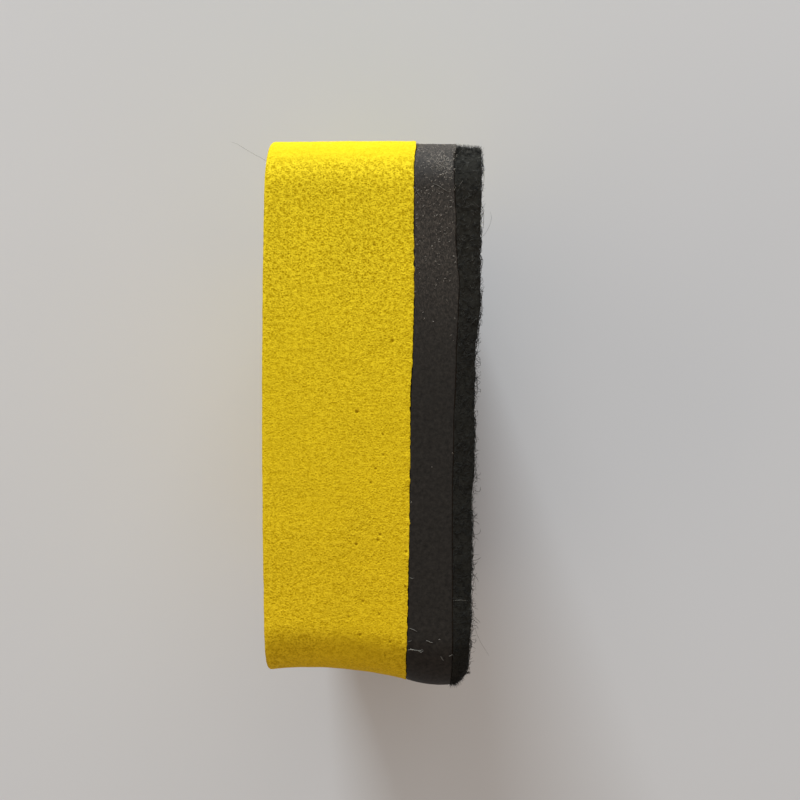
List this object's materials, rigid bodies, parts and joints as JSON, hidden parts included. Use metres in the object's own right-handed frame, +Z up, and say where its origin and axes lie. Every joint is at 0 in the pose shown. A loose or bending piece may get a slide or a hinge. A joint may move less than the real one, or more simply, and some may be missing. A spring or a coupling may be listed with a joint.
{
  "type": "chalkboard eraser",
  "caption": "Small square chalkboard eraser: a soft foam grip block, a firmer foam backing and a felt wiping pad glued face to face.",
  "frame": {"origin": "middle of the eraser's footprint as it stands on one narrow side, at the level of the surface under it", "axes": "+Z up, +X out of the felt wiping face, -X out of the back of the grip block, -Y towards the flared side"},
  "size_m": [0.0194, 0.0516, 0.05],
  "materials": {
    "yellow_foam": "matte",
    "black_foam": "matte",
    "black_felt": "matte",
    "glue": "satin"
  },
  "bodies": {
    "root": {"grip_block": "yellow_foam", "grip_glue_film": "glue", "backing_layer": "black_foam", "felt_glue_film": "glue", "felt_pad": "black_felt"}
  },
  "joints": []
}
